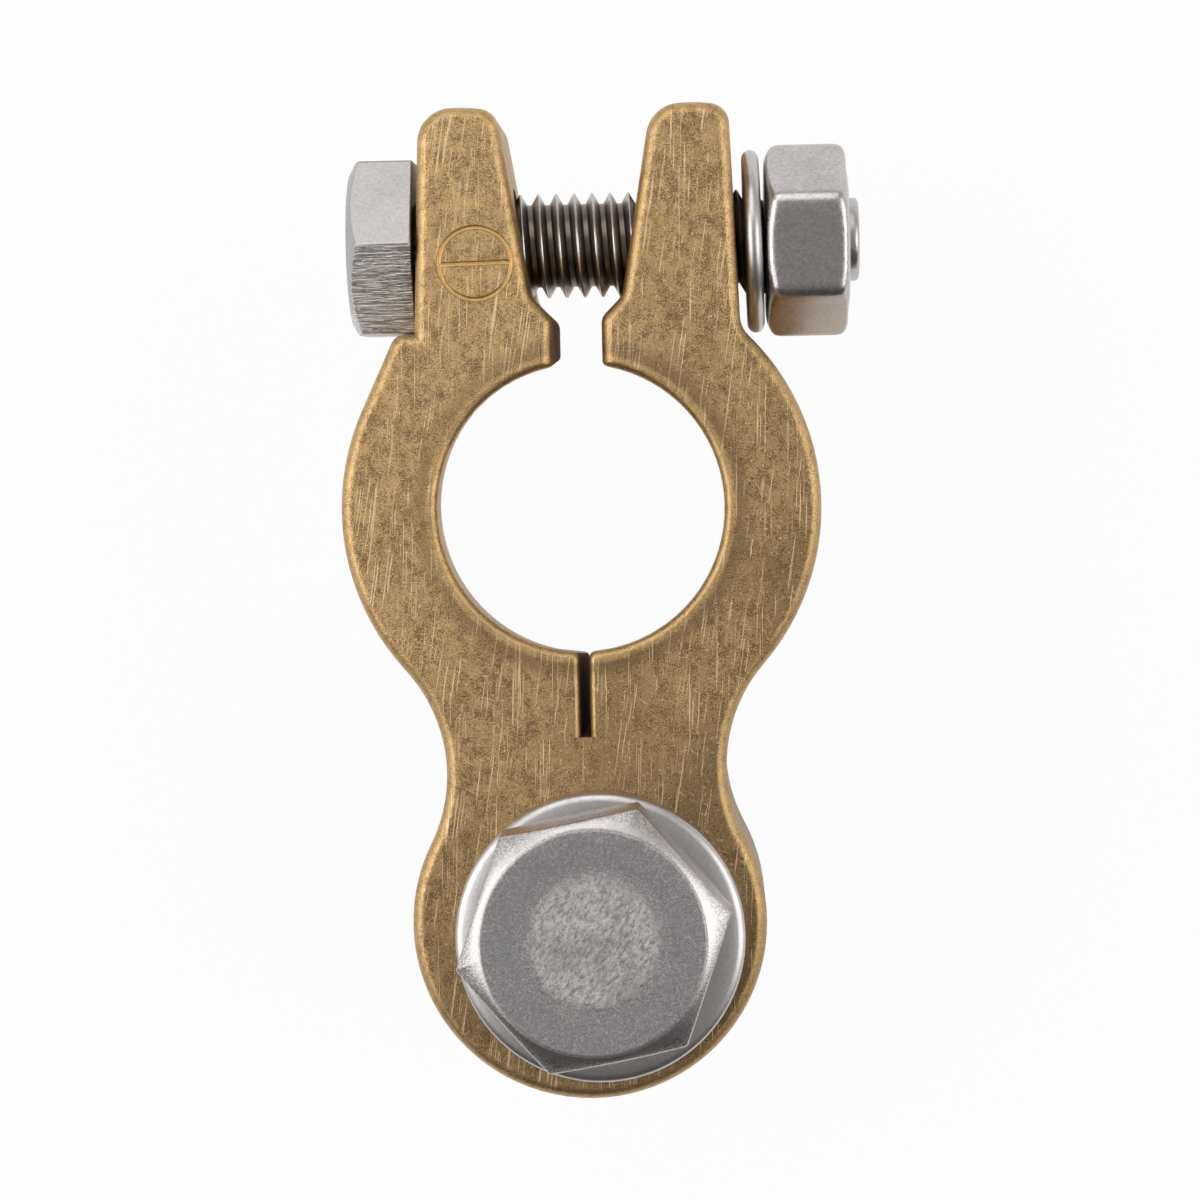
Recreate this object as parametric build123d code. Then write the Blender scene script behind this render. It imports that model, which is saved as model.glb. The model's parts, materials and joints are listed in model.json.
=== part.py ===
from build123d import *
from math import acos, atan2, cos, pi, radians, sin, sqrt, tan
import os

# A battery terminal clamp: a keyhole-shaped brass body that closes on a tapered battery
# post, the small bolt that squeezes its two ears together, and the larger bolt that holds
# the cable's eye on its round tail.
#
# Frame, in millimetres: +Z runs up the battery post, z = 0 is the face next to the battery,
# +Y points from the post to the ears and +X to the side where the clamp nut sits.

# ---- clamp body, outline seen along Z ----
THICKNESS = 11.0
RING_R = 13.1
TAIL_R = 9.7
TAIL_Y = -22.7
NECK_R = 8.5            # concave blend between ring and tail
EDGE_ROUND = 0.7        # tumbled edges of both faces

EAR_TOP_Y = 21.9
EAR_ROOT_Y = 8.0
EAR_OUT_ROOT_X = 8.95   # the ears lean slightly inward on the outside
EAR_OUT_TOP_X = 8.45
EAR_IN_ROOT_X = 2.48    # and spread apart on the inside
EAR_IN_TOP_X = 4.2
EAR_IN_ROOT_Y = 11.5
EAR_CORNER_R = 1.15
EAR_SOFT_R = 1.9        # the two corners the tumbling has worn most
EAR_BLEND_R = 1.5       # outer root of the ear on the nut side

JAW_GAP = 2.66
JAW_TOP_Y = 10.35
JAW_CORNER_R = 0.75

LEDGE_X = 9.95         # step under the bolt head that stops it turning
LEDGE_Y = 9.65

# ---- post bore and relief slot ----
BORE_TOP_D = 15.6       # small end, away from the battery
TAPER = 1 / 9           # change of diameter along the post
BORE_LIP = 0.45
SLOT_W = 0.57
SLOT_END_Y = -12.5
MOUTH_R = 0.35          # corners where slot and jaws meet the bore

# ---- clamp bolt, M6 x 24.5, along X ----
BOLT_Y = 14.55
BOLT_Z = THICKNESS / 2
M6_SHANK_D = 5.8
M6_AF = 9.5
M6_HEAD = 3.65
M6_LENGTH = 24.5
M6_NUT = 4.7
M6_BORE_D = 5.9
EAR_HOLE_D = 6.5
HEAD_SEAT_X = -8.95
M6_WASHER = (6.2, 10.4, 1.1)      # inside and outside diameter, thickness
WASHER_SEAT_X = 9.15
NUT_SEAT_X = 10.35

# ---- lug bolt, M8 x 25, along Z ----
LUG_SHIFT = (0.4, -0.18)          # the bolt stands against one side of its clearance hole
M8_SHANK_D = 7.9
M8_AF = 12.95
M8_HEAD = 5.3
M8_LENGTH = 25.0
M8_NUT = 6.5
M8_BORE_D = 8.0
TAIL_HOLE_D = 9.0
HOLE_CHAMFER = 0.3
M8_FLAT = (9.0, 15.8, 1.6)
M8_SPRING = (8.4, 13.6, 1.6)
FLAT_SHIFT = (0.2, -0.45)         # how far the loose top washer has slipped
LUG_HEX_TURN = 10.8               # turn of the lug bolt's head about its axis
LUG_DISH = (4.2, 3.7, 0.12)       # shallow dish forged in its head: rim and floor radius, depth
STACK_GAP = 0.02                  # air between neighbouring washers

HEX_FACE = 0.94         # turned face of a hex head or nut as a share of its flats


def hexagon_piece(across_flats, height, turn=0):
    """A hexagonal prism on XY whose corners are turned off by 30 degree cones."""
    corner_r = across_flats / sqrt(3)
    face_r = across_flats / 2 * HEX_FACE
    drop = (corner_r - face_r) * tan(radians(30))
    prism = extrude(
        Plane.XY * RegularPolygon(corner_r, 6, rotation=turn), amount=height
    )
    outline = Polyline(
        (0, 0, 0),
        (face_r, 0, 0),
        (corner_r, 0, drop),
        (corner_r, 0, height - drop),
        (face_r, 0, height),
        (0, 0, height),
        close=True,
    )
    turned = revolve(make_face(outline), Axis.Z)
    return prism & turned


def shank(diameter, length, end_chamfer):
    """A plain shank hanging down from z = 0, chamfered at its free end."""
    body = Pos(0, 0, -length) * Cylinder(
        diameter / 2, length, align=(Align.CENTER, Align.CENTER, Align.MIN)
    )
    free_end = body.edges().sort_by(Axis.Z)[0]
    return chamfer(free_end, end_chamfer)


def nut(across_flats, height, bore_d, turn=0):
    """A double-chamfered nut standing on z = 0, its bore countersunk at both ends."""
    blank = hexagon_piece(across_flats, height, turn)
    bore = Pos(0, 0, -1) * Cylinder(
        bore_d / 2, height + 2, align=(Align.CENTER, Align.CENTER, Align.MIN)
    )
    drilled = blank - bore
    rims = drilled.edges().filter_by(GeomType.CIRCLE).sort_by(lambda edge: edge.radius)
    return chamfer(rims[:2], bore_d / 2 * 0.08)


def flat_washer(inner_d, outer_d, thickness, edge=0.25):
    """A punched washer standing on z = 0: the punch rounds its upper rim only."""
    disc = Cylinder(
        outer_d / 2, thickness, align=(Align.CENTER, Align.CENTER, Align.MIN)
    )
    disc = fillet(disc.edges().filter_by(GeomType.CIRCLE).sort_by(Axis.Z)[-1], edge)
    hole = Pos(0, 0, -1) * Cylinder(
        inner_d / 2, thickness + 2, align=(Align.CENTER, Align.CENTER, Align.MIN)
    )
    return disc - hole


def split_washer(inner_d, outer_d, thickness, split_at, edge=0.2):
    """A flattened spring washer standing on z = 0, cut by an oblique slit."""
    ring = Cylinder(
        outer_d / 2, thickness, align=(Align.CENTER, Align.CENTER, Align.MIN)
    )
    ring = chamfer(ring.edges().filter_by(GeomType.CIRCLE), edge)
    hole = Pos(0, 0, -1) * Cylinder(
        inner_d / 2, thickness + 2, align=(Align.CENTER, Align.CENTER, Align.MIN)
    )
    ring -= hole
    mid_r = (inner_d + outer_d) / 4
    slit = Box(outer_d - inner_d, 0.3, thickness * 5)
    slit = Pos(mid_r, 0, thickness / 2) * Rot(-60, 0, 0) * slit
    return ring - Rot(0, 0, split_at) * slit


def ring_and_tail():
    """The ring and the round tail joined by two concave arcs tangent to both."""
    ring = Circle(RING_R)
    tail = Pos(0, TAIL_Y) * Circle(TAIL_R)
    # the blend circle touches both circles from outside
    a = RING_R + NECK_R
    b = TAIL_R + NECK_R
    d = -TAIL_Y
    along = (a * a - b * b + d * d) / (2 * d)
    aside = sqrt(a * a - along * along)
    upper = (aside * RING_R / a, -along * RING_R / a)
    lower = (aside * TAIL_R / b, -d + (d - along) * TAIL_R / b)
    waist = Polyline(
        (0, 0), upper, (aside, -along), lower, (0, TAIL_Y),
        (-lower[0], lower[1]), (-aside, -along), (-upper[0], upper[1]),
        close=True,
    )
    bite = Circle(NECK_R)
    return ring + tail + (
        make_face(waist) - Pos(aside, -along) * bite - Pos(-aside, -along) * bite
    )


def ear(side):
    """One ear as a tapered blade with a slightly crowned top; side is -1 or +1."""
    crown = EAR_TOP_Y - 0.25
    top_mid = (EAR_OUT_TOP_X + EAR_IN_TOP_X) / 2
    path = Polyline(
        (side * EAR_OUT_TOP_X, crown),
        (side * EAR_OUT_ROOT_X, EAR_ROOT_Y),
        (side * EAR_OUT_ROOT_X / 2, 0),
        (0, 0),
        (0, EAR_IN_ROOT_Y),
        (side * EAR_IN_ROOT_X, EAR_IN_ROOT_Y),
        (side * EAR_IN_TOP_X, crown),
    )
    top = ThreePointArc(
        (side * EAR_IN_TOP_X, crown),
        (side * top_mid, EAR_TOP_Y),
        (side * EAR_OUT_TOP_X, crown),
    )
    return make_face(path + top)


def ledge():
    """The step on the head side: flat on top, its flank tangent to the ring."""
    far = sqrt(LEDGE_X**2 + LEDGE_Y**2)
    touch = atan2(LEDGE_Y, -LEDGE_X) + acos(RING_R / far)
    outline = Polyline(
        (0, 0),
        (-LEDGE_X + 3, LEDGE_Y),
        (-LEDGE_X, LEDGE_Y),
        (RING_R * cos(touch), RING_R * sin(touch)),
        close=True,
    )
    return make_face(outline)


def jaw_opening():
    """The gap between the ears: two parallel jaws that open into a wide throat."""
    half = JAW_GAP / 2
    slope = EAR_IN_ROOT_X - half
    right = [
        (half, 0),
        (half, JAW_TOP_Y),
        (EAR_IN_ROOT_X, JAW_TOP_Y + slope),
        (EAR_IN_TOP_X, EAR_TOP_Y - 0.25),
        (EAR_IN_TOP_X, EAR_TOP_Y + 2),
    ]
    left = [(-x, y) for x, y in reversed(right)]
    return make_face(Polyline(*right, *left, close=True))


def near(sketch, x, y):
    """The corner of a sketch closest to a point."""
    return min(sketch.vertices(), key=lambda v: (v.X - x) ** 2 + (v.Y - y) ** 2)


def body_outline():
    outline = ring_and_tail() + ear(-1) + ear(1) + ledge() - jaw_opening()
    crown = EAR_TOP_Y - 0.25
    throat_y = JAW_TOP_Y + EAR_IN_ROOT_X - JAW_GAP / 2
    root_x = EAR_OUT_ROOT_X - 0.05
    root_y = sqrt(RING_R**2 - root_x**2)
    rounds = [
        (near(outline, root_x, root_y), EAR_BLEND_R),
        (near(outline, -LEDGE_X, LEDGE_Y), EDGE_ROUND + 0.1),
    ]
    for side in (-1, 1):
        outer, inner = (
            (EAR_SOFT_R, EAR_CORNER_R) if side < 0 else (EAR_CORNER_R, EAR_SOFT_R)
        )
        rounds += [
            (near(outline, side * EAR_OUT_TOP_X, crown), outer),
            (near(outline, side * EAR_IN_TOP_X, crown), inner),
            (near(outline, side * EAR_IN_ROOT_X, throat_y), 1.2),
            (near(outline, side * JAW_GAP / 2, JAW_TOP_Y), JAW_CORNER_R),
        ]
    places = [((v.X, v.Y), r) for v, r in rounds]
    for (x, y), r in places:
        outline = fillet(near(outline, x, y), r)
    return outline


def post_bore_cutter():
    """The tapered post bore with a rounded lip at each end."""
    top_r = BORE_TOP_D / 2
    bottom_r = top_r + THICKNESS * TAPER / 2
    lip = BORE_LIP
    r_high = top_r + lip * TAPER / 2
    r_low = bottom_r - lip * TAPER / 2
    wall = Line((r_low, 0, lip), (r_high, 0, THICKNESS - lip))
    high_lip = ThreePointArc(
        (r_high, 0, THICKNESS - lip),
        (r_high + lip * (1 - cos(pi / 4)), 0, THICKNESS - lip * (1 - sin(pi / 4))),
        (r_high + lip, 0, THICKNESS),
    )
    low_lip = ThreePointArc(
        (r_low + lip, 0, 0),
        (r_low + lip * (1 - cos(pi / 4)), 0, lip * (1 - sin(pi / 4))),
        (r_low, 0, lip),
    )
    rest = Polyline(
        (r_high + lip, 0, THICKNESS),
        (r_high + lip, 0, THICKNESS + 2),
        (0, 0, THICKNESS + 2),
        (0, 0, -2),
        (r_low + lip, 0, -2),
        (r_low + lip, 0, 0),
    )
    return revolve(make_face(wall + high_lip + rest + low_lip), Axis.Z)


def mouth_edges(body, half_width, y_min, y_max):
    """The two upright edges where a straight cut of this half width opens into the bore."""
    return [
        e
        for e in body.edges()
        if e.length > THICKNESS * 0.8
        and abs(abs(e.center().X) - half_width) < 0.1
        and y_min < e.center().Y < y_max
    ]


def clamp_body():
    body = extrude(body_outline(), amount=THICKNESS)
    faces = body.faces().sort_by(Axis.Z)
    body = fillet(faces[0].edges() + faces[-1].edges(), EDGE_ROUND)
    body -= post_bore_cutter()
    slot_length = -SLOT_END_Y - 5
    body -= Pos(0, SLOT_END_Y, -1) * Box(
        SLOT_W, slot_length, THICKNESS + 2, align=(Align.CENTER, Align.MIN, Align.MIN)
    )
    # tumbling has rounded the corners where the slot and the jaws meet the bore
    body = fillet(mouth_edges(body, SLOT_W / 2, -9, -7), MOUTH_R)
    body = fillet(mouth_edges(body, JAW_GAP / 2, 7, 9), MOUTH_R)
    body -= Pos(0, TAIL_Y, -1) * Cylinder(
        TAIL_HOLE_D / 2, THICKNESS + 2, align=(Align.CENTER, Align.CENTER, Align.MIN)
    )
    tail_rims = [
        e
        for e in body.edges().filter_by(GeomType.CIRCLE)
        if abs(e.radius - TAIL_HOLE_D / 2) < 0.01 and e.center().Y < -20
    ]
    body = chamfer(tail_rims, HOLE_CHAMFER)
    ear_hole = Cylinder(EAR_HOLE_D / 2, 40)
    body -= Pos(0, BOLT_Y, BOLT_Z) * Rot(0, 90, 0) * ear_hole
    return body


def hex_bolt(across_flats, head, shank_d, length, end_chamfer, turn=0, dish=None):
    """A hex bolt whose head stands on z = 0 and whose shank hangs below it."""
    top = hexagon_piece(across_flats, head, turn)
    if dish:
        rim_r, floor_r, depth = dish
        cut = Polyline(
            (0, 0, head + 1),
            (rim_r, 0, head + 1),
            (rim_r, 0, head),
            (floor_r, 0, head - depth),
            (0, 0, head - depth),
            close=True,
        )
        top -= revolve(make_face(cut), Axis.Z)
    return top + shank(shank_d, length, end_chamfer)


# the clamp bolt lies along X, its head on the -X side with one flat on the ledge
along_x = Pos(0, BOLT_Y, BOLT_Z)
clamp_bolt = along_x * Pos(HEAD_SEAT_X, 0, 0) * Rot(0, -90, 0) * hex_bolt(
    M6_AF, M6_HEAD, M6_SHANK_D, M6_LENGTH, 0.5
)
clamp_washer = along_x * Pos(WASHER_SEAT_X, 0, 0) * Rot(0, 90, 0) * split_washer(
    *M6_WASHER, 203
)
clamp_nut = along_x * Pos(NUT_SEAT_X, 0, 0) * Rot(0, 90, 0) * nut(
    M6_AF, M6_NUT, M6_BORE_D, 30
)

# the lug bolt stands along Z through the tail, head up
lug_seat_z = THICKNESS + M8_FLAT[2] + 2 * STACK_GAP
lug_axis = Pos(LUG_SHIFT[0], TAIL_Y + LUG_SHIFT[1], 0)
lug_bolt = lug_axis * Pos(0, 0, lug_seat_z) * hex_bolt(
    M8_AF, M8_HEAD, M8_SHANK_D, M8_LENGTH, 0.6, LUG_HEX_TURN, LUG_DISH
)
lug_flat_washer = lug_axis * Pos(*FLAT_SHIFT, THICKNESS + STACK_GAP) * flat_washer(*M8_FLAT)
back_flat_z = -STACK_GAP - M8_FLAT[2]
back_spring_z = back_flat_z - STACK_GAP - M8_SPRING[2]
back_nut_z = back_spring_z - STACK_GAP - M8_NUT
lug_flat_washer_back = lug_axis * Pos(0, 0, -STACK_GAP) * Rot(180, 0, 0) * flat_washer(
    *M8_FLAT
)
lug_spring_washer = lug_axis * Pos(0, 0, back_spring_z) * split_washer(*M8_SPRING, 200)
lug_nut = lug_axis * Pos(0, 0, back_nut_z) * nut(M8_AF, M8_NUT, M8_BORE_D, 24)

pieces = {
    "clamp_body": clamp_body(),
    "clamp_bolt": clamp_bolt,
    "clamp_spring_washer": clamp_washer,
    "clamp_nut": clamp_nut,
    "lug_bolt": lug_bolt,
    "lug_flat_washer": lug_flat_washer,
    "lug_flat_washer_back": lug_flat_washer_back,
    "lug_spring_washer": lug_spring_washer,
    "lug_nut": lug_nut,
}
os.makedirs("parts", exist_ok=True)
for name, piece in pieces.items():
    export_step(piece, f"parts/{name}.step")
    box = piece.bounding_box()
    print(name, [round(v, 2) for v in (*box.min, *box.max)], round(piece.volume, 2))
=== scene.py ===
# %% [markdown]
# # A battery terminal clamp in brass and steel
#
# A battery terminal clamp is a brass casting that is squeezed round a lead post by a bolt through
# its two ears. The battery cable's eye is bolted on its tail. The solid model already has every
# size, so this lesson only dresses it: real threads, crisp hexagons, a struck polarity mark, and
# metal that looks handled. The part lies with its bore along Z, so that the camera looks down on
# the face that points away from the battery.

# %% Load the solid model and measure it
import bpy
import json
from math import cos, pi, radians, sin, sqrt
from mathutils import Matrix, Vector


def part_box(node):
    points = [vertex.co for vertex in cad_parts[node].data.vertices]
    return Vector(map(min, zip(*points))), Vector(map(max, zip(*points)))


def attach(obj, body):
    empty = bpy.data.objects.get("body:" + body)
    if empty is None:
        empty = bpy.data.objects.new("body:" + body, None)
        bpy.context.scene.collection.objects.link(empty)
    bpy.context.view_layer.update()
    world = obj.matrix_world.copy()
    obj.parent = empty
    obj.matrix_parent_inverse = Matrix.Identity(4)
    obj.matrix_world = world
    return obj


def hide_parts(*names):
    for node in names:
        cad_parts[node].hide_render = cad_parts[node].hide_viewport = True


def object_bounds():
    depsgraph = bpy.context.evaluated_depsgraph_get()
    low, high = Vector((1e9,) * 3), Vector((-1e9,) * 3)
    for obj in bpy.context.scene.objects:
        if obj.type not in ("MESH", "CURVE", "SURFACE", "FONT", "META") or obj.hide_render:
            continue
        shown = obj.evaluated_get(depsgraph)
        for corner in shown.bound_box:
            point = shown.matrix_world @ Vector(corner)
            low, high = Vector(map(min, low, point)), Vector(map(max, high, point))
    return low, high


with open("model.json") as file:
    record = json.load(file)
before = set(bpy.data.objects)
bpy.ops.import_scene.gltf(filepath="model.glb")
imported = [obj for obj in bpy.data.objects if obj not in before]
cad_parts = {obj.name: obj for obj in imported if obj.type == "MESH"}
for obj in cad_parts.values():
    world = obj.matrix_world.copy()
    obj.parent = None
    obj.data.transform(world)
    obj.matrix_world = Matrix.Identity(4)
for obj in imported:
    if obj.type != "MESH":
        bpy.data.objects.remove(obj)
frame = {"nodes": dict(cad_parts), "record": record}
cad_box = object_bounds()
MM = 0.001
print("box in mm:", [[round(v / MM, 2) for v in corner] for corner in cad_box])

# %% [markdown]
# ## Nodes that can be written as sums
#
# A material is a network of nodes, and so are the floor's paper and the sky. To keep their maths
# readable, a small class wraps one output of a node, and Python's own + - * / then add the Math
# nodes. Every other node comes from one method, which takes its type, its settings and its inputs.

# %% The wrapper for values, and the net that makes nodes
class Flow:
    """One output of a node. Arithmetic on it adds Math nodes to its net."""

    def __init__(self, net, socket):
        self.net, self.socket = net, socket

    def _math(self, operation, *parts):
        return self.net.node("ShaderNodeMath", {"operation": operation}, dict(enumerate(parts)))

    def __add__(self, other):
        return self._math("ADD", self, other)

    __radd__ = __add__

    def __sub__(self, other):
        return self._math("SUBTRACT", self, other)

    def __rsub__(self, other):
        return self._math("SUBTRACT", other, self)

    def __mul__(self, other):
        return self._math("MULTIPLY", self, other)

    __rmul__ = __mul__

    def __truediv__(self, other):
        return self._math("DIVIDE", self, other)

    def __pow__(self, other):
        return self._math("POWER", self, other)

    def size(self):
        return self._math("ABSOLUTE", self)

    def least(self, other):
        return self._math("MINIMUM", self, other)

    def most(self, other):
        return self._math("MAXIMUM", self, other)

    def rise(self, low, high):
        """0 below low, 1 above high and a soft step between; high may be the lower one."""
        return self.net.node(
            "ShaderNodeMapRange", {"interpolation_type": "SMOOTHSTEP"},
            {"Value": self, "From Min": low, "From Max": high},
        )

    def near(self, middle, inner, outer):
        """1 within inner of the middle, 0 beyond outer and a soft step between."""
        return (self - middle).size().rise(outer, inner)


class Net:
    """The nodes of one material or of the sky."""

    def __init__(self, owner):
        owner.use_nodes = True
        self.tree = owner.node_tree
        self.tree.nodes.clear()

    def node(self, kind, settings=None, values=None, output=0):
        """Makes a node, sets it, fills its inputs with numbers or flows, and returns one output."""
        made = self.tree.nodes.new(kind)
        for name, value in (settings or {}).items():
            setattr(made, name, value)
        for slot, value in (values or {}).items():
            if isinstance(value, Flow):
                self.tree.links.new(value.socket, made.inputs[slot])
            else:
                made.inputs[slot].default_value = value
        return Flow(self, made.outputs[output]) if made.outputs else None

    def axes(self, vector):
        """The three numbers of a vector."""
        split = self.node("ShaderNodeSeparateXYZ", {}, {0: vector})
        return [Flow(self, out) for out in split.socket.node.outputs]

    def seen_by(self, ray):
        """1 for rays of this kind and 0 for all others."""
        return self.node("ShaderNodeLightPath", output=f"Is {ray} Ray")


def colour(red, green, blue):
    return (red, green, blue, 1)


print("nets are ready")

# %% [markdown]
# ## The camera
#
# A small metal part is best seen through a long lens from about 20 cm, which keeps its outline
# nearly flat. Here the lens stands a little to the right of the bore and looks slightly back
# towards the middle, so that a thin strip of the walls shows on one side. A camera has three
# axes of its own, and they can be written straight into its matrix.

# %% Stand the camera above the front face
front_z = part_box("clamp_body")[1].z
front_mm = front_z / MM
LENS_FOOT = Vector((7.26, 2.91, 0)) * MM     # the point of the face straight below the lens
AIM = Vector((0.946, -5.016, 0)) * MM        # the point in the middle of the picture
LENS_HEIGHT = 199.5 * MM
LENS_MM = 110.1
ROLL = radians(1.22)

eye = LENS_FOOT + Vector((0, 0, front_z + LENS_HEIGHT))
aim = AIM + Vector((0, 0, front_z))
back = (eye - aim).normalized()
right = Vector((sin(ROLL), cos(ROLL), 0)).cross(back).normalized()
up = back.cross(right)

bpy.ops.object.select_all(action="DESELECT")
bpy.ops.object.camera_add()
camera = bpy.context.object
camera.name = "camera"
camera.matrix_world = Matrix.Translation(eye) @ Matrix((right, up, back)).transposed().to_4x4()
camera.data.lens = LENS_MM
camera.data.sensor_width = 36
camera.data.clip_start = 0.01
bpy.context.scene.camera = camera
print("the lens is", round((eye - aim).length / MM, 1), "mm from the face")

# %% [markdown]
# ## Floor, backdrop and soft light
#
# Polished metal shows what stands around it, so its light is as much a matter of what is there to
# be mirrored as of lamps. A pale floor lies under the part. Large soft boxes stand left, right and
# behind, up to twice as bright as white paper, and draw light bands along the rounded edges. The
# sky is a mild grey, darker straight above, where the camera is, and towards the front, where the
# person behind the camera stands. To the camera, and to the metal, the floor glows nearly white,
# and to all other rays it is matt paper that keeps the shadow.

# %% Lay the floor
scene = bpy.context.scene
scene.view_settings.view_transform = "Standard"

FLOOR_GAP = 0.4 * MM
FLOOR_SIZE = 4                               # metres
SEEN, MIRRORED = 0.95, 0.75                  # the glow's share for the camera and in the metal
floor_z = cad_box[0].z - FLOOR_GAP
bpy.ops.mesh.primitive_plane_add(size=FLOOR_SIZE, location=(0, 0, floor_z))
floor = bpy.context.object
floor.name = "floor"

paper = bpy.data.materials.new("white_paper")
net = Net(paper)
matt = net.node("ShaderNodeBsdfDiffuse", {}, {"Color": colour(0.8, 0.8, 0.8)})
glow = net.node("ShaderNodeEmission", {}, {"Strength": 1})
share = (net.seen_by("Camera") * SEEN).most(net.seen_by("Glossy") * MIRRORED)
blend = net.node("ShaderNodeMixShader", {}, {0: share, 1: matt, 2: glow})
net.node("ShaderNodeOutputMaterial", {}, {"Surface": blend})
floor.data.materials.append(paper)
print("floor at", round(floor_z / MM, 2), "mm")

# %% Hang the sky
SKY, SKY_TOP, SKY_FRONT = 0.66, 0.36, 0.10
BACKDROP = 1.22                              # the level that the camera sees as white
world = bpy.data.worlds.new("studio")
scene.world = world
net = Net(world)
_, way_y, way_z = net.axes(net.node("ShaderNodeTexCoord", output="Generated"))
level = SKY + (SKY_TOP - SKY) * way_z.rise(0.70, 0.97)
level = level + (SKY_FRONT - level) * way_y.rise(-0.12, -0.70)
level = level.most(net.seen_by("Camera") * BACKDROP)
sky = net.node("ShaderNodeBackground", {}, {"Strength": level})
net.node("ShaderNodeOutputWorld", {}, {"Surface": sky})
print("sky:", SKY, "all round,", SKY_TOP, "above,", SKY_FRONT, "in front")


# %% Set the lamps
def soft_box(name, place, size, brightness):
    """A square lamp at a place in metres that faces the part; a brightness of 1 is white paper."""
    bpy.ops.object.light_add(type="AREA", location=place)
    box = bpy.context.object
    box.name = name
    box.data.shape = "SQUARE"
    box.data.size = size
    box.data.energy = brightness * pi * size ** 2
    box.rotation_euler = (-Vector(place)).to_track_quat("-Z", "Y").to_euler()


soft_box("left_box", (-0.36, 0.01, 0.34), size=0.42, brightness=1.95)
soft_box("right_box", (0.40, 0.00, 0.32), size=0.38, brightness=1.85)
soft_box("back_box", (-0.08, 0.40, 0.38), size=0.42, brightness=1.2)

# %% [markdown]
# ## Working with operators
#
# An operator acts on whatever is selected. Three small helpers keep that in hand: one leaves a
# single object selected, one opens it for editing with just the faces that pass a test, and one
# closes it again.

# %% Three helpers for selecting and editing
def only(piece):
    """Leaves one piece selected and active, in object mode."""
    if bpy.context.object and bpy.context.object.mode != "OBJECT":
        bpy.ops.object.mode_set(mode="OBJECT")
    bpy.ops.object.select_all(action="DESELECT")
    piece.select_set(True)
    bpy.context.view_layer.objects.active = piece


def edit_faces(piece, test=None):
    """Opens a piece in edit mode; only faces whose centre and normal pass the test are selected."""
    only(piece)
    bpy.ops.object.mode_set(mode="EDIT")
    bpy.ops.mesh.select_mode(type="FACE")
    bpy.ops.mesh.select_all(action="DESELECT" if test else "SELECT")
    if test:
        bpy.ops.object.mode_set(mode="OBJECT")
        for face in piece.data.polygons:
            face.select = test(face.center, face.normal)
        bpy.ops.object.mode_set(mode="EDIT")


def done_editing(piece, what):
    """Back to object mode, with a line that says how large the mesh is."""
    bpy.ops.object.mode_set(mode="OBJECT")
    print(what, "-", piece.name, len(piece.data.polygons), "faces")
    return piece


# %% [markdown]
# ## Crisp but not razor-sharp
#
# Cut metal has a tiny round on every edge, and that round is what catches the light. A Bevel
# modifier gives it. A flat face beside a small round must keep its own normal, or the light
# smears over it, and the Weighted Normal modifier sees to that.

# %% Helpers that apply modifiers, ease edges and carve
SHARP = radians(25)            # edges sharper than this get a round
BREAK = radians(35)            # and the shading breaks at these


def apply_modifier(piece, kind, **settings):
    """Adds a modifier, sets it and turns its result into the piece's own mesh."""
    only(piece)
    step = piece.modifiers.new(kind.lower(), kind)
    for name, value in settings.items():
        setattr(step, name, value)
    bpy.ops.object.modifier_apply(modifier=step.name)


def ease_edges(piece, width):
    """Rounds each sharp edge by a width, if any, then shades flats flat and rounds round."""
    if width:
        apply_modifier(
            piece, "BEVEL", width=width, segments=2, limit_method="ANGLE", angle_limit=SHARP
        )
    only(piece)
    bpy.ops.object.shade_smooth_by_angle(angle=BREAK)
    apply_modifier(piece, "WEIGHTED_NORMAL", keep_sharp=True, weight=60)


def carve(piece, tool, operation="DIFFERENCE"):
    """Combines a piece with a tool by an exact boolean and removes the tool."""
    apply_modifier(piece, "BOOLEAN", object=tool, operation=operation, solver="EXACT")
    bpy.data.objects.remove(tool)
    return piece


# %% [markdown]
# ## The casting and its struck mark
#
# The casting's shape is right in the solid model. What is missing is the polarity mark on one
# ear: a ring with a bar across it, struck with a punch. A punched line is a narrow rounded
# groove, so the tool is a thin torus and a thin rod, sunk by less than half their thickness into
# the face and cut away with a boolean. The solid model's mesh is loose triangles, so a copy is
# merged, and its flat faces are dissolved back into whole faces before the cut. The relief slot
# behind the bore was sawn by hand, and its cut leans a little, so that no light shows through it:
# the points round it are moved aside, the more the lower they lie.

# %% Copy the casting and merge its mesh
def own_copy(node, name):
    """A new piece with its own welded copy of a solid's mesh."""
    piece = bpy.data.objects.new(name, frame["nodes"][node].data.copy())
    scene.collection.objects.link(piece)
    only(piece)
    bpy.ops.mesh.customdata_custom_splitnormals_clear()
    edit_faces(piece)
    bpy.ops.mesh.remove_doubles(threshold=0.002 * MM)
    bpy.ops.mesh.dissolve_limited(angle_limit=radians(0.05))
    return done_editing(piece, "welded")


casting = own_copy("clamp_body", "brass_casting")

# %% Lean the saw cut
SAW_LEAN = 0.26                # how far the cut has moved to +X on its way down
CUT_END, CUT_MOUTH = -12.7, -7.4
CUT_ROOM = 0.75                # half the width of the space that holds the cut's points
for point in casting.data.vertices:
    spot = point.co / MM
    if abs(spot.x) < CUT_ROOM and CUT_END < spot.y < CUT_MOUTH:
        point.co.x += SAW_LEAN * MM * (1 - spot.z / front_mm)
print("the cut leans by", SAW_LEAN, "mm")

# %% Strike the ring and its bar
MARK = Vector((-5.47, 13.41, 0)) * MM
MARK_R = 1.955 * MM
MARK_LINE = 0.15 * MM          # radius of the punch's line
MARK_SINK = 0.05 * MM          # the line's middle stands this far above the face
MARK_TILT = radians(1.2)

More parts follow.
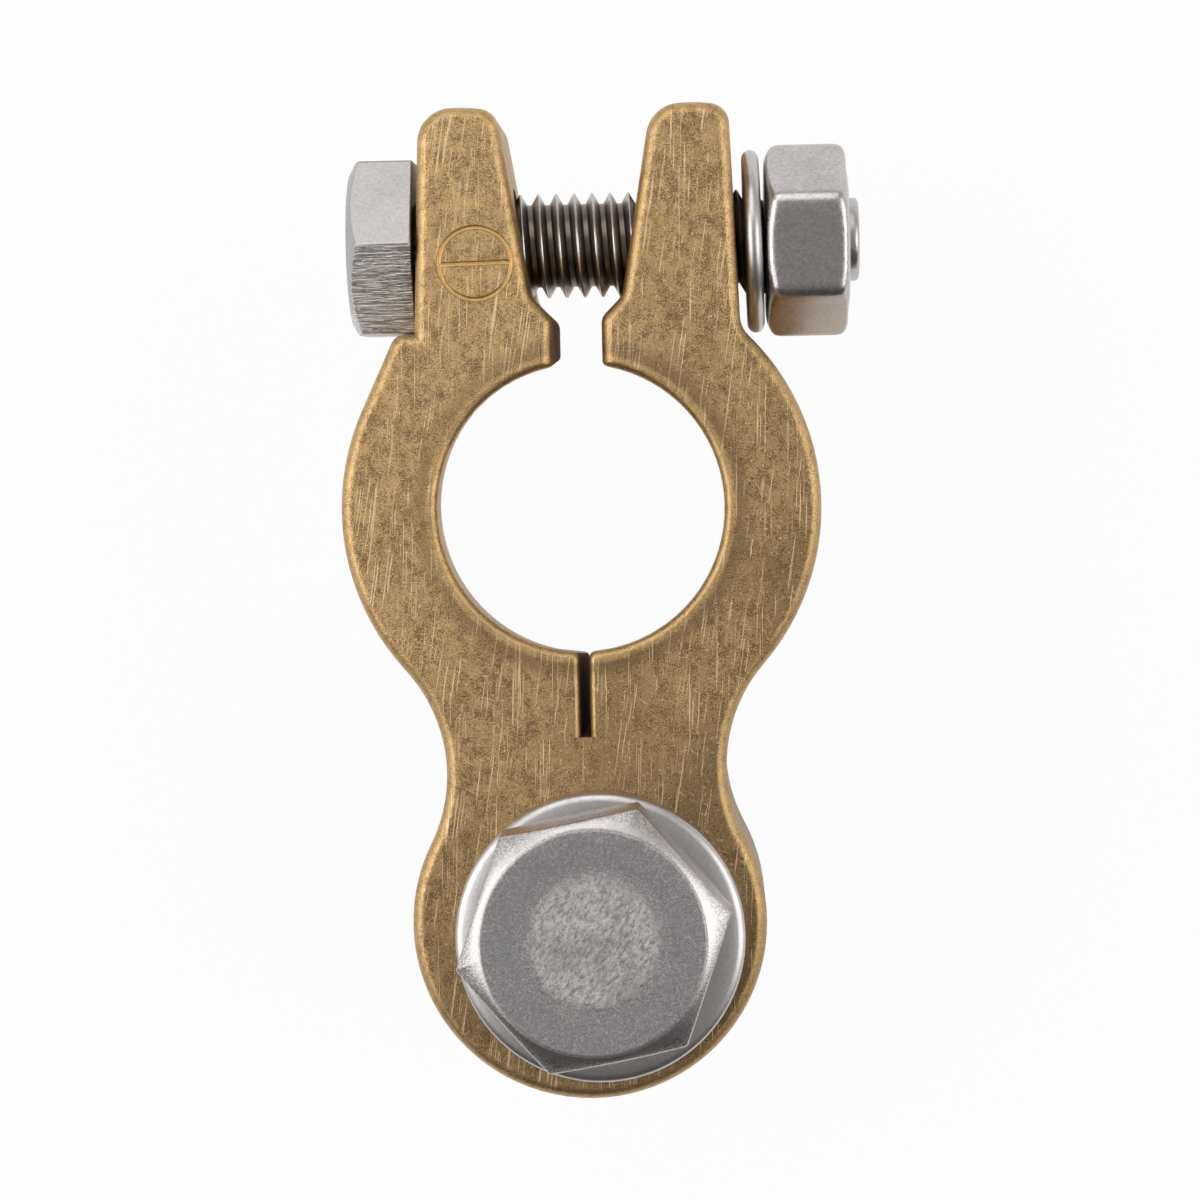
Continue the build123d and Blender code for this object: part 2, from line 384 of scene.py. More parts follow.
punch = MARK + Vector((0, 0, front_z + MARK_SINK))
bpy.ops.mesh.primitive_torus_add(
    location=punch, major_radius=MARK_R, minor_radius=MARK_LINE,
    major_segments=96, minor_segments=16,
)
carve(casting, bpy.context.object)
bpy.ops.mesh.primitive_cylinder_add(
    vertices=16, radius=MARK_LINE, depth=2 * MARK_R, location=punch,
    rotation=(0, pi / 2, MARK_TILT),
)
bar = bpy.context.object
bpy.ops.object.transform_apply(location=True, rotation=True, scale=True)
carve(casting, bar)
ease_edges(casting, 0)
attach(casting, "clamp")
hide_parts("clamp_body")
print("marked casting:", len(casting.data.polygons), "faces")

# %% [markdown]
# ## A class for metal finishes
#
# Every finish here is one Principled shader whose colour, roughness and relief come from patterns
# in the part's own millimetres. The class keeps those coordinates at hand, and has a method for
# each kind of pattern: cloudy noise, noise drawn out into scratches, and relief from either.

# %% The paint that all metals share
class Paint(Net):
    """A metal finish: a Principled shader and the nodes that feed it."""

    def __init__(self, name, **constants):
        self.material = bpy.data.materials.new(name)
        super().__init__(self.material)
        self.shader = self.tree.nodes.new("ShaderNodeBsdfPrincipled")
        surface = self.tree.nodes.new("ShaderNodeOutputMaterial").inputs["Surface"]
        self.tree.links.new(self.shader.outputs[0], surface)
        for socket, value in constants.items():
            self.shader.inputs[socket].default_value = value
        place = self.node("ShaderNodeTexCoord", output="Object")
        self.mm = self.node(
            "ShaderNodeVectorMath", {"operation": "SCALE"}, {0: place, "Scale": 1 / MM}
        )
        self.x, self.y, self.z = self.axes(self.mm)

    def normal(self):
        """The surface's direction in the part's own axes."""
        return self.axes(self.node("ShaderNodeTexCoord", output="Normal"))

    def noise(self, per_mm, detail=3, rough=0.55, at=None):
        """Cloudy noise between 0 and 1, with so many clouds to a millimetre."""
        return self.node(
            "ShaderNodeTexNoise", {},
            {"Vector": at or self.mm, "Scale": per_mm, "Detail": detail, "Roughness": rough},
        )

    def stretched(self, scale, turn=(0, 0, 0), shift=(0, 0, 0)):
        """The part's millimetres, shifted, turned by degrees and then stretched along the axes."""
        turned = self.node(
            "ShaderNodeMapping", {},
            {"Vector": self.mm, "Location": shift, "Rotation": [radians(t) for t in turn]},
        )
        return self.node("ShaderNodeMapping", {}, {"Vector": turned, "Scale": scale})

    def hairs(self, across, along, lean, cover, shift=(0, 0, 0)):
        """Fine scratches that lean by degrees: so many to a millimetre, each about 1/along long."""
        web = self.noise(
            1, detail=1, rough=0.4, at=self.stretched((across, along, 0.6), (0, 0, lean), shift)
        )
        return web.rise(cover, cover + 0.05)

    def tint(self, share, one, two):
        """One colour where share is 0 and the other where it is 1."""
        mix = {0: share, 6: one, 7: two}
        return self.node("ShaderNodeMix", {"data_type": "RGBA"}, mix, output=2)

    def bump(self, height, depth, strength=1.0, before=None):
        """Relief of so many millimetres where height goes from 0 to 1."""
        values = {"Height": height, "Distance": depth * MM, "Strength": strength}
        if before:
            values["Normal"] = before
        return self.node("ShaderNodeBump", {}, values)

    def feed(self, **inputs):
        """Links flows to the shader's inputs, with _ for a space in their names."""
        for name, flow in inputs.items():
            self.tree.links.new(flow.socket, self.shader.inputs[name.replace("_", " ")])

    def put_on(self, piece):
        piece.data.materials.clear()
        piece.data.materials.append(self.material)


print("paint is ready")

# %% [markdown]
# ## Brass that has been tumbled and handled
#
# Cast brass comes out of the tumbler with its edges burnished and its faces satin. Months in a
# box then dull the faces to a mottled tan-brown, while rubbing keeps the rounded edges bright.
# The paint follows that: a fine two-tone mottle, darker where tarnish has collected, thin
# scratches that run along the part, and a cleaner, smoother metal wherever the surface turns
# away from the flat. The direction of the surface tells the paint where an edge is rounded. The
# colour is also painted darker towards the tail and the side of the nut, as painted shade, and
# the tarnish thickens the same way. The saw cut and the jaws are painted dark as painted shade.

# %% Mix the brass: mottle, tarnish and flecks
TAN = colour(0.67, 0.435, 0.203)
UMBER = colour(0.215, 0.14, 0.066)
TARNISH = colour(0.075, 0.057, 0.032)
PALE = colour(0.86, 0.65, 0.39)
BURNISHED = colour(0.66, 0.43, 0.195)
RIM_DARK = colour(0.10, 0.065, 0.035)
# painted shade for the saw cut and the jaws
SLOT_SHADE_BROWN = colour(0.13, 0.045, 0.015)
STRUCK_GOLD = colour(0.72, 0.45, 0.17)

brass = Paint("tumbled_brass", Metallic=1.0)
fine = brass.noise(11, detail=4, rough=0.75)
coarse = brass.noise(1.7, detail=5, rough=0.65, at=brass.stretched((1, 0.8, 1), shift=(3, 9, 1)))
clouds = brass.noise(0.16, detail=3, rough=0.5)
mottle = 0.66 * fine + 0.34 * coarse
# painted shade: the colour grows darker towards +X and -Y, where less light falls, and the same
# slope thickens the tarnish
painted_shade_slope = (0.0028 * brass.x - 0.0018 * brass.y).least(0.08).most(-0.06)
skin = brass.tint((mottle - 0.35 * painted_shade_slope).rise(0.425, 0.575), UMBER, TAN)

# tarnish clouds plus the painted shade slope
tarnish_and_shade = 0.34 * coarse + 0.48 * fine + 0.18 * clouds + painted_shade_slope
skin = brass.tint(tarnish_and_shade.rise(0.515, 0.68) * 0.85, skin, TARNISH)
pits = brass.noise(7, detail=3, rough=0.6, at=brass.stretched((1, 0.6, 1), shift=(1, 6, 2)))
# the pits' tarnish also grows with the painted shade slope
skin = brass.tint(pits.rise(0.575, 0.66) * (0.45 + 5 * painted_shade_slope), skin, TARNISH)
flecks = brass.noise(7.5, detail=2, rough=0.5, at=brass.stretched((1, 1, 1), shift=(7, 1, 4)))
skin = brass.tint(flecks.rise(0.61, 0.72) * 0.5, skin, PALE)
print("mottle and tarnish use", len(brass.tree.nodes), "nodes")

# %% Scratch it, mostly along its length
zones = brass.noise(0.26, detail=2, at=brass.stretched((1.4, 0.8, 1), shift=(2, 5, 0)))
upright = brass.hairs(across=12, along=0.24, lean=9, cover=0.65)
slight = brass.hairs(across=15, along=0.20, lean=2, cover=0.66, shift=(5, 2, 0))
crossing = brass.hairs(across=11, along=0.7, lean=-58, cover=0.73, shift=(1, 8, 0))
scratches = (upright * zones.rise(0.40, 0.56)).most(slight * zones.rise(0.58, 0.42))
scratches = scratches.most(crossing * zones.rise(0.50, 0.60))
facing = brass.normal()[2].size()
scratches = scratches * facing.rise(0.75, 0.95)
skin = brass.tint(scratches * 0.8, skin, PALE)
print("with scratches", len(brass.tree.nodes), "nodes")

# %% Rub the edges and the bore's rim
LIP_R = 8.25                   # where the bore's rounded lip meets the face
rounded = facing.rise(0.995, 0.94) * facing.rise(0.10, 0.40)
rubbed = rounded * (0.35 + 0.65 * mottle.rise(0.40, 0.55))
skin = brass.tint(rubbed * 0.65, skin, BURNISHED)

reach = (brass.x * brass.x + brass.y * brass.y) ** 0.5
# a darker band just outside the bore's lip, where the tarnish clouds are thick
rim_dark_band = reach.rise(LIP_R + 1.35, LIP_R + 0.45) * reach.rise(LIP_R + 0.10, LIP_R + 0.35)
skin = brass.tint(rim_dark_band * tarnish_and_shade.rise(0.40, 0.58) * 0.5, skin, RIM_DARK)
rim_worn = reach.rise(LIP_R + 0.30, LIP_R) * facing.rise(0.8, 0.95)
skin = brass.tint(rim_worn * 0.35, skin, BURNISHED)
print("with rubbed edges", len(brass.tree.nodes), "nodes")

# %% Painted shade in the saw cut and on the jaws, and gold in the mark
CUT_MIDDLE = -10.3             # the middle of the painted shade in the cut, along Y
JAW_FACE, JAW_MIDDLE = 1.33, 9.0
walls = facing.rise(0.6, 0.2)
cut_x = SAW_LEAN * (1 - brass.z / front_mm)
# painted shade: the walls of the saw cut and the facing walls of the jaws are painted dark brown,
# dull and rough
in_cut = brass.x.near(cut_x, 0.36, 0.45) * brass.y.near(CUT_MIDDLE, 2.4, 2.7) * walls
jaws = brass.x.size().near(JAW_FACE, 0.1, 0.2) * brass.y.near(JAW_MIDDLE, 1.7, 2.0) * walls
gap_shade = in_cut.most(jaws * 0.9)
skin = brass.tint(gap_shade, skin, SLOT_SHADE_BROWN)

mark_x = brass.x - MARK.x / MM
mark_y = brass.y - MARK.y / MM
mark_reach = (mark_x * mark_x + mark_y * mark_y) ** 0.5
ring = mark_reach.near(MARK_R / MM, 0.10, 0.17)
bar = mark_y.near(sin(MARK_TILT) * mark_x, 0.10, 0.17) * mark_reach.rise(2.0, 1.9)
struck = ring.most(bar) * brass.z.rise(front_mm - 0.5, front_mm - 0.2)
skin = brass.tint(struck * 0.6, skin, STRUCK_GOLD)
print("with painted shade and mark", len(brass.tree.nodes), "nodes")

# %% Its gloss and relief
gloss = 0.43 - 0.14 * rubbed - 0.12 * scratches + 0.12 * tarnish_and_shade.rise(0.50, 0.66) + 0.5 * gap_shade
relief = brass.bump(mottle, 0.045, 0.8)
relief = brass.bump(scratches, 0.02, 0.5, before=relief)
brass.feed(
    Base_Color=skin, Roughness=gloss.most(0.15), Metallic=1 - 0.85 * gap_shade, Normal=relief
)
brass.put_on(casting)
print("brass uses", len(brass.tree.nodes), "nodes")

# %% [markdown]
# ## Threads
#
# A screw thread is one small tooth that climbs by its pitch in each turn. So the tooth's outline
# is drawn once, from extruded points, repeated along the bolt by an Array modifier, and carried
# round by a Screw modifier whose rise is one pitch. Each tooth then ends where the next begins,
# and the two are merged. The ends are cut square with bisect, the last crests are turned down, and
# a short round end without teeth is joined on, as on a real bolt.

# %% A threaded rod
TURN_STEPS = 72
TOOTH_DEPTH = 0.6134           # of the pitch
TOOTH = [                      # how high, as a share of the depth, after each share of the pitch
    (0.02, 0.13), (0.5, 0.17), (0.96, 0.15), (1, 0.055),
    (0.96, 0.055), (0.5, 0.15), (0.02, 0.17), (0, 0.12),
]
STUB_FOOT, STUB_ROUND = 0.5, 0.25    # how deep the bare end stands in the thread, and its round


def weld(first, second, name):
    """Joins two pieces of one forging into one object."""
    only(first)
    second.select_set(True)
    bpy.ops.object.join()
    first.name = name
    return first


def threaded_rod(name, size):
    """The thread of a bolt, along +Z from 0 to its length, with no tooth on its bare end."""
    pitch, length = size["pitch"], size["length"]
    depth = TOOTH_DEPTH * pitch
    crest_r = size["thread"] / 2
    root_r = crest_r - depth
    bpy.ops.mesh.primitive_plane_add(size=0.1 * MM)
    rod = bpy.context.object
    rod.name = name
    bpy.ops.object.mode_set(mode="EDIT")
    bpy.ops.mesh.select_mode(type="VERT")
    bpy.ops.mesh.select_all(action="SELECT")
    bpy.ops.mesh.merge(type="CENTER")
    bpy.ops.transform.translate(value=(root_r * MM, 0, -2 * pitch * MM))
    at = 0
    for up, along in TOOTH:
        step = Vector((up * depth - at, 0, along * pitch)) * MM
        bpy.ops.mesh.extrude_region_move(TRANSFORM_OT_translate={"value": step})
        at = up * depth
    bpy.ops.object.mode_set(mode="OBJECT")
    toothed = length - size["bare"]
    turns = int(toothed / pitch) + 4
    apply_modifier(
        rod, "ARRAY", count=turns, use_relative_offset=False, use_constant_offset=True,
        constant_offset_displace=(0, 0, pitch * MM), use_merge_vertices=True,
        merge_threshold=0.01 * MM,
    )
    apply_modifier(
        rod, "SCREW", axis="Z", angle=2 * pi, screw_offset=pitch * MM, iterations=1,
        steps=TURN_STEPS, render_steps=TURN_STEPS, use_merge_vertices=False,
    )
    for cut, inner in ((0, True), (toothed, False)):
        edit_faces(rod)
        bpy.ops.mesh.remove_doubles(threshold=0.005 * MM)
        bpy.ops.mesh.bisect(
            plane_co=(0, 0, cut * MM), plane_no=(0, 0, 1), use_fill=True,
            clear_inner=inner, clear_outer=not inner,
        )
        bpy.ops.object.mode_set(mode="OBJECT")
    for point in rod.data.vertices:
        most = (crest_r - max(0, depth - toothed + point.co.z / MM)) * MM
        reach = sqrt(point.co.x ** 2 + point.co.y ** 2)
        if reach > most:
            point.co.x *= most / reach
            point.co.y *= most / reach
    tall = size["bare"] + STUB_FOOT
    bpy.ops.mesh.primitive_cylinder_add(
        vertices=TURN_STEPS, radius=(root_r + 0.01) * MM, depth=tall * MM,
        location=(0, 0, (length - tall / 2) * MM),
    )
    stub = bpy.context.object
    bpy.ops.object.transform_apply(location=True)
    apply_modifier(stub, "BEVEL", width=STUB_ROUND * MM, segments=3, limit_method="ANGLE")
    weld(rod, stub, name)
    edit_faces(rod)
    bpy.ops.mesh.normals_make_consistent(inside=False)
    return done_editing(rod, "thread cut")


# %% [markdown]
# ## Hexagons
#
# A hex head starts as a six-sided bar. Its ends are then turned on a lathe with a tool at about
# 30 degrees, which leaves a round face and the curved chamfers that run down to each corner. The
# same is done here: a turned blank, made from a cylinder whose end faces are extruded and scaled,
# is intersected with a six-sided cylinder whose upright edges are rounded first.

# %% A hexagon with turned ends
LATHE_SLOPE = 0.577            # of a tool set at 30 degrees
BLANK_PLAY = 1.003             # the blank is this much wider than the corners


def hexagon(
    name, across_flats, height, turn, face_share=0.94, slope=LATHE_SLOPE, ends=(1, -1),
    shape_top=None, corner=0.12,
):
    """A turned hexagon on z = 0, in millimetres, with a corner at the turn's angle from +X.

    Its turned faces are face_share of the flats wide, and slope is how steeply the cones leave
    them. Only the ends that are named, 1 above and -1 below, are turned. shape_top is a function
    that works on the blank's upper face, and corner is the round of the bar's upright edges.
    """
    corner_r = across_flats / sqrt(3)
    face_r = across_flats / 2 * face_share
    drop = (corner_r - face_r) * slope
    foot = drop if -1 in ends else -1
    blank_r = corner_r * BLANK_PLAY
    bpy.ops.mesh.primitive_cylinder_add(
        vertices=120, radius=blank_r * MM, depth=(height - drop - foot) * MM,
        location=(0, 0, (height - drop + foot) / 2 * MM), rotation=(0, 0, radians(turn)),
    )
    blank = bpy.context.object
    bpy.ops.object.transform_apply(location=True, rotation=True)
    for side in ends:
        edit_faces(blank, lambda centre, way: way.z * side > 0.9)
        bpy.ops.mesh.extrude_region_move(
            TRANSFORM_OT_translate={"value": (0, 0, side * drop * MM)}
        )
        share = face_r / blank_r
        bpy.ops.transform.resize(value=(share, share, 1), center_override=(0, 0, 0))
        bpy.ops.object.mode_set(mode="OBJECT")
    if shape_top:
        shape_top(blank, face_r)
    over = 1 if -1 in ends else 0
    bpy.ops.mesh.primitive_cylinder_add(
        vertices=6, radius=corner_r * MM, depth=(height + 1 + over) * MM,
        location=(0, 0, (height + 1 - over) / 2 * MM), rotation=(0, 0, radians(turn + 30)),
    )
    bar = bpy.context.object
    bpy.ops.object.transform_apply(location=True, rotation=True)
    apply_modifier(bar, "BEVEL", width=corner * MM, segments=4, limit_method="ANGLE")
    piece = carve(bar, blank, "INTERSECT")
    piece.name = name
    print("hexagon:", name, len(piece.data.polygons), "faces")
    return piece


def stand(piece, place, axis="Z"):
    """Turns a piece made along Z to lie along an axis, moves it to its place and applies both."""
    only(piece)
    turn = {"Z": (0, 0, 0), "X": (0, pi / 2, 0), "-X": (0, -pi / 2, 0), "-Z": (pi, 0, 0)}[axis]
    piece.location = place
    piece.rotation_euler = turn
    bpy.ops.object.transform_apply(location=True, rotation=True, scale=True)


# %% [markdown]
# ## The clamp bolt
#
# It is a hex bolt, threaded right up to its head. Its head and thread are made lying along Z and
# then laid along the ears. Their places come from the solid bolt's box: the head starts where the
# box does, and the seat is one head height further.

# %% The sizes of both screws, in millimetres
M6 = {
    "across_flats": 9.5, "head": 3.65, "thread": 5.8, "pitch": 1.0, "length": 24.5, "bare": 0.55,
    "nut": 4.7, "bore": 5.9,
}
M8 = {
    "across_flats": 12.95, "head": 5.3, "thread": 7.9, "pitch": 1.25, "length": 25.0, "bare": 0.7,
    "nut": 6.5, "bore": 8.0,
}
EASED = 0.10 * MM              # how far the edges of both heads are rounded
print("lengths in mm:", M6["length"], M8["length"])

# %% Make the clamp bolt
low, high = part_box("clamp_bolt")
axis_y, axis_z = (low.y + high.y) / 2, (low.z + high.z) / 2
seat = Vector((low.x + M6["head"] * MM, axis_y, axis_z))
head = hexagon("head", M6["across_flats"], M6["head"], turn=0, face_share=0.90, ends=(1,))
ease_edges(head, EASED)
stand(head, seat, "-X")
thread = threaded_rod("thread", M6)
ease_edges(thread, 0)
stand(thread, seat, "X")
clamp_bolt = weld(head, thread, "clamp_bolt_threaded")
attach(clamp_bolt, "clamp")
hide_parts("clamp_bolt")
print("clamp bolt reaches", round(max(v.co.x for v in clamp_bolt.data.vertices) / MM, 2), "mm")

# %% [markdown]
# ## The lug bolt
#
# A cold-forged head keeps a shallow dish where the die pressed it. On the blank it is an inset of
# the top face, pushed down and narrowed a little, so that the dish has a sloping wall. The bolt
# stands off the middle of its hole, on the axis of the joint that it turns about.

# %% Make the lug bolt
DISH_RIM, DISH_FLOOR, DISH_DEPTH = 4.2, 3.7, 0.12


def press_dish(blank, face_r):
    """Insets the top face to the dish's rim, then sinks and narrows its floor."""
    edit_faces(blank, lambda centre, way: way.z > 0.9)
    bpy.ops.mesh.inset(thickness=(face_r - DISH_RIM) * MM)
    bpy.ops.mesh.extrude_region_move(
        TRANSFORM_OT_translate={"value": (0, 0, -DISH_DEPTH * MM)}
    )
    share = DISH_FLOOR / DISH_RIM
    bpy.ops.transform.resize(value=(share, share, 1), center_override=(0, 0, 0))
    bpy.ops.object.mode_set(mode="OBJECT")


joints = {joint["name"]: joint for joint in frame["record"]["behaviour"]["joints"]}
lug_x, lug_y = joints["lug_bolt_turn"]["pos_m"][:2]
low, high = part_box("lug_bolt")
seat = Vector((lug_x, lug_y, high.z - M8["head"] * MM))
head = hexagon("head", M8["across_flats"], M8["head"], turn=10.8, shape_top=press_dish)
ease_edges(head, EASED)
stand(head, seat)
thread = threaded_rod("thread", M8)
ease_edges(thread, 0)
stand(thread, seat, "-Z")
lug_bolt = weld(head, thread, "lug_bolt_threaded")
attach(lug_bolt, "lug_bolt")
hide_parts("lug_bolt")
print("lug bolt from", round(low.z / MM, 2), "to", round(high.z / MM, 2), "mm")

# %% [markdown]
# ## The nuts
#
# A nut is the same turned hexagon with a tapped hole. The hole is bored plain at the size over
# the thread and countersunk at both mouths, because from outside only the countersink and the
# bolt's own thread are seen. Nuts are tumbled by the thousand, which rounds their corners: the
# mesh is rebuilt from small cubes of even size and then relaxed, and its edges grow soft.

# %% Make both nuts
VOXELS_ACROSS = 105
SINK_SHARE = 0.04              # how deep each mouth is countersunk, as a share of the bore
SINK_CLEARANCE = 1.2           # how much wider the drill is once it is out of the nut


def hex_nut(name, size, turn, corner, face_share, slope, soft):
    """A nut standing on z = 0; soft is how many times its mesh is relaxed, as tumbling does."""
    height, bore_d = size["nut"], size["bore"]
    piece = hexagon(
        name, size["across_flats"], height, turn, face_share=face_share, slope=slope,
        corner=corner,
    )
    bpy.ops.mesh.primitive_cylinder_add(
        vertices=96, radius=bore_d / 2 * MM, depth=height * MM, location=(0, 0, height / 2 * MM)
    )
    drill = bpy.context.object
    bpy.ops.object.transform_apply(location=True)
    sink = bore_d * SINK_SHARE
    for side in (1, -1):
        edit_faces(drill, lambda centre, way: way.z * side > 0.9)
        bpy.ops.transform.translate(value=(0, 0, -side * sink * MM))
        for grow in (1 + 2 * sink / bore_d, SINK_CLEARANCE):
            bpy.ops.mesh.extrude_region_move(
                TRANSFORM_OT_translate={"value": (0, 0, side * sink * MM)}
            )
            bpy.ops.transform.resize(value=(grow, grow, 1), center_override=(0, 0, 0))
        bpy.ops.object.mode_set(mode="OBJECT")
    carve(piece, drill)
    voxel = size["across_flats"] / VOXELS_ACROSS * MM
    apply_modifier(piece, "REMESH", mode="VOXEL", voxel_size=voxel, use_smooth_shade=True)
    apply_modifier(piece, "SMOOTH", factor=0.5, iterations=soft)
    print("softened:", name, len(piece.data.polygons), "faces")
    return piece


low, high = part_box("clamp_nut")
clamp_nut = hex_nut(
    "clamp_nut_hex", M6, turn=36.5, corner=0.50, face_share=0.94, slope=0.48, soft=90
)
stand(clamp_nut, Vector((low.x, (low.y + high.y) / 2, (low.z + high.z) / 2)), "X")
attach(clamp_nut, "clamp_nut")
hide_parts("clamp_nut")

low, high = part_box("lug_nut")
lug_nut = hex_nut("lug_nut_hex", M8, turn=24, corner=0.2, face_share=0.90, slope=0.6, soft=4)
stand(lug_nut, Vector((lug_x, lug_y, low.z)))
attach(lug_nut, "lug_nut")
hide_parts("lug_nut")

# %% [markdown]
# ## Punched washers
#
# A flat washer is punched from sheet, and the punch rolls its upper edge over: the outer part of
# the face slopes away and ends in a small round, while the lower edge stays sharp. That slope is
# slight, but it mirrors another part of the room than the flat does. The piece is turned on a
# lathe from its section: a circle is extruded from point to point of the outline, each time to a
# new width and height, and the last ring is merged with the first.

# %% A small lathe
LATHE_STEPS = 144


def lathe(name, outline):
    """A ring turned from a closed outline of (radius, height) pairs in millimetres."""
    radius, height = outline[0]
    bpy.ops.mesh.primitive_circle_add(
        vertices=LATHE_STEPS, radius=radius * MM, fill_type="NOTHING",
        location=(0, 0, height * MM),
    )
    piece = bpy.context.object
    piece.name = name
    bpy.ops.object.transform_apply(location=True)
    bpy.ops.object.mode_set(mode="EDIT")
    bpy.ops.mesh.select_mode(type="EDGE")
    bpy.ops.mesh.select_all(action="SELECT")
    for next_radius, next_height in outline[1:] + outline[:1]:
        bpy.ops.mesh.extrude_region_move(
            TRANSFORM_OT_translate={"value": (0, 0, (next_height - height) * MM)}
        )
        share = next_radius / radius
        bpy.ops.transform.resize(value=(share, share, 1), center_override=(0, 0, 0))
        radius, height = next_radius, next_height
    bpy.ops.mesh.select_all(action="SELECT")
    bpy.ops.mesh.remove_doubles(threshold=0.001 * MM)
    bpy.ops.mesh.normals_make_consistent(inside=False)
    return done_editing(piece, "turned")


# %% Turn the two flat washers
HOLE_R, RIM_R, SHEET = 4.5, 7.9, 1.6
punched = [
    (HOLE_R, 0.08), (HOLE_R + 0.08, 0), (RIM_R - 0.1, 0), (RIM_R - 0.03, 0.03), (RIM_R, 0.1),
    (RIM_R, SHEET - 0.46), (RIM_R - 0.05, SHEET - 0.30), (RIM_R - 0.18, SHEET - 0.19),
    (RIM_R - 0.45, SHEET - 0.12), (RIM_R - 0.9, SHEET - 0.06), (RIM_R - 1.5, SHEET),
    (HOLE_R + 0.08, SHEET), (HOLE_R, SHEET - 0.08),
]
flat_washers = []
for node, body, flip in (
    ("lug_flat_washer", "clamp", False), ("lug_flat_washer_back", "lug_nut_carriage", True)
):
    low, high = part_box(node)
    piece = lathe(node.replace("lug_flat", "punched"), punched)
    middle = (low + high) / 2
    foot = Vector((middle.x, middle.y, high.z if flip else low.z))
    stand(piece, foot, "-Z" if flip else "Z")
    ease_edges(piece, 0)
    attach(piece, body)
    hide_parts(node)
    flat_washers.append(piece)
print("washers:", [p.name for p in flat_washers])

# %% [markdown]
# ## The small spring washer
#
# The washer under the clamp nut is coiled from drawn wire, so its rim is fully round. It is a
# little thinner and narrower than the space it has, and stands in it at a slight tilt. Its slit,
# made with a thin slanting box, looks down.

# %% Make the small spring washer
WIRE, EYE_R, EYE_EDGE = 0.94, 3.15, 0.1
RIM_PLAY = 0.14                # how much smaller its radius is than the space it has
RIM_STEPS = 8
SLIT_R = 3.1                   # the box that cuts the slit stands between this radius and the rim
SLIT = Vector((0.35, 2.4, 4)) * MM
SLIT_LEAN, WASHER_TILT = radians(35), radians(1.2)

low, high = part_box("clamp_spring_washer")
wide = (high.y - low.y) / 2 / MM - RIM_PLAY
rim = []
for k in range(RIM_STEPS + 1):
    around = pi * k / RIM_STEPS
    rim.append((wide - WIRE / 2 * (1 - sin(around)), WIRE / 2 * (1 - cos(around))))
eye_low = [(EYE_R, EYE_EDGE), (EYE_R + EYE_EDGE, 0)]
eye_high = [(EYE_R + EYE_EDGE, WIRE), (EYE_R, WIRE - EYE_EDGE)]
spring = lathe("spring_washer_small", eye_low + rim + eye_high)
bpy.ops.mesh.primitive_cube_add(size=1, location=(0, -(wide + SLIT_R) / 2 * MM, WIRE / 2 * MM))
slit = bpy.context.object
slit.scale = SLIT
slit.rotation_euler = (0, SLIT_LEAN, 0)
bpy.ops.object.transform_apply(location=True, rotation=True, scale=True)
carve(spring, slit)
only(spring)
spring.rotation_euler = (0, 0, radians(90))
bpy.ops.object.transform_apply(rotation=True)
stand(spring, Vector((-WIRE / 2 * MM, 0, 0)), "X")
spring.rotation_euler = (0, 0, WASHER_TILT)
spring.location = (low + high) / 2
bpy.ops.object.transform_apply(location=True, rotation=True)
ease_edges(spring, 0)
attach(spring, "clamp_nut_carriage")
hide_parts("clamp_spring_washer")
spring_x = [point.co.x / MM for point in spring.data.vertices]
print("it stands in x from", round(min(spring_x), 2), "to", round(max(spring_x), 2), "mm")

# %% [markdown]
# ## Steel finishes
#
# The bolts, nuts and washers are one metal with different histories. Forged faces are granular,
# rolled threads are smooth on the crest and darker in the root, and washers are nearly
# bright. One function mixes the common steel, and each piece adds its own part. The clamp nut's
# lower sides are painted brown, a painted reflection of the brass that they face.

# %% Mix the steels
STEEL = colour(0.62, 0.585, 0.57)
STEEL_DARK = colour(0.30, 0.285, 0.28)
STEEL_PALE = colour(0.82, 0.79, 0.77)
STEEL_DULL = colour(0.225, 0.22, 0.22)
ROOT_DARK = colour(0.125, 0.095, 0.072)
BRASS_REFLECTION_BROWN = colour(0.36, 0.26, 0.17)


def steel_paint(name, grain_per_mm, grain_mm, dark_share, rough):
    """Stainless steel: granular tone and relief, pale specks and a few dull clouds."""
    paint = Paint(name, Metallic=1.0)
    grain = paint.noise(grain_per_mm, detail=5, rough=0.7)
    clouds = paint.noise(0.5, detail=3)
    share = (grain.rise(0.58, 0.40) * dark_share + clouds.rise(0.45, 0.70) * 0.15).least(1)
    tone = paint.tint(share, STEEL, STEEL_DARK)
    tone = paint.tint(grain.rise(0.58, 0.70) * dark_share, tone, STEEL_PALE)
    relief = paint.bump(grain, grain_mm, 0.8)
    gloss = rough + 0.10 * (clouds - 0.5) + 0.05 * (grain - 0.5)
    return paint, tone, gloss, relief


def radius_about(paint, centre, axis):
    """Distance in millimetres from a line through a point along an axis."""
    a, b = {"X": (paint.y - centre.y / MM, paint.z - centre.z / MM),
            "Z": (paint.x - centre.x / MM, paint.y - centre.y / MM)}[axis]
    return (a * a + b * b) ** 0.5


def darken_thread_roots(paint, tone, reach, size, on_thread):
    """Darkens the roots of a thread, by the distance from its axis."""
    crest, pitch = size["thread"] / 2, size["pitch"]
    # darker towards the root of each tooth, by the distance from the axis
    root = reach.rise(crest - 0.06 * pitch, crest - 0.50 * pitch) * on_thread
    return paint.tint(root * 0.9, tone, ROOT_DARK)


print("steels are ready")

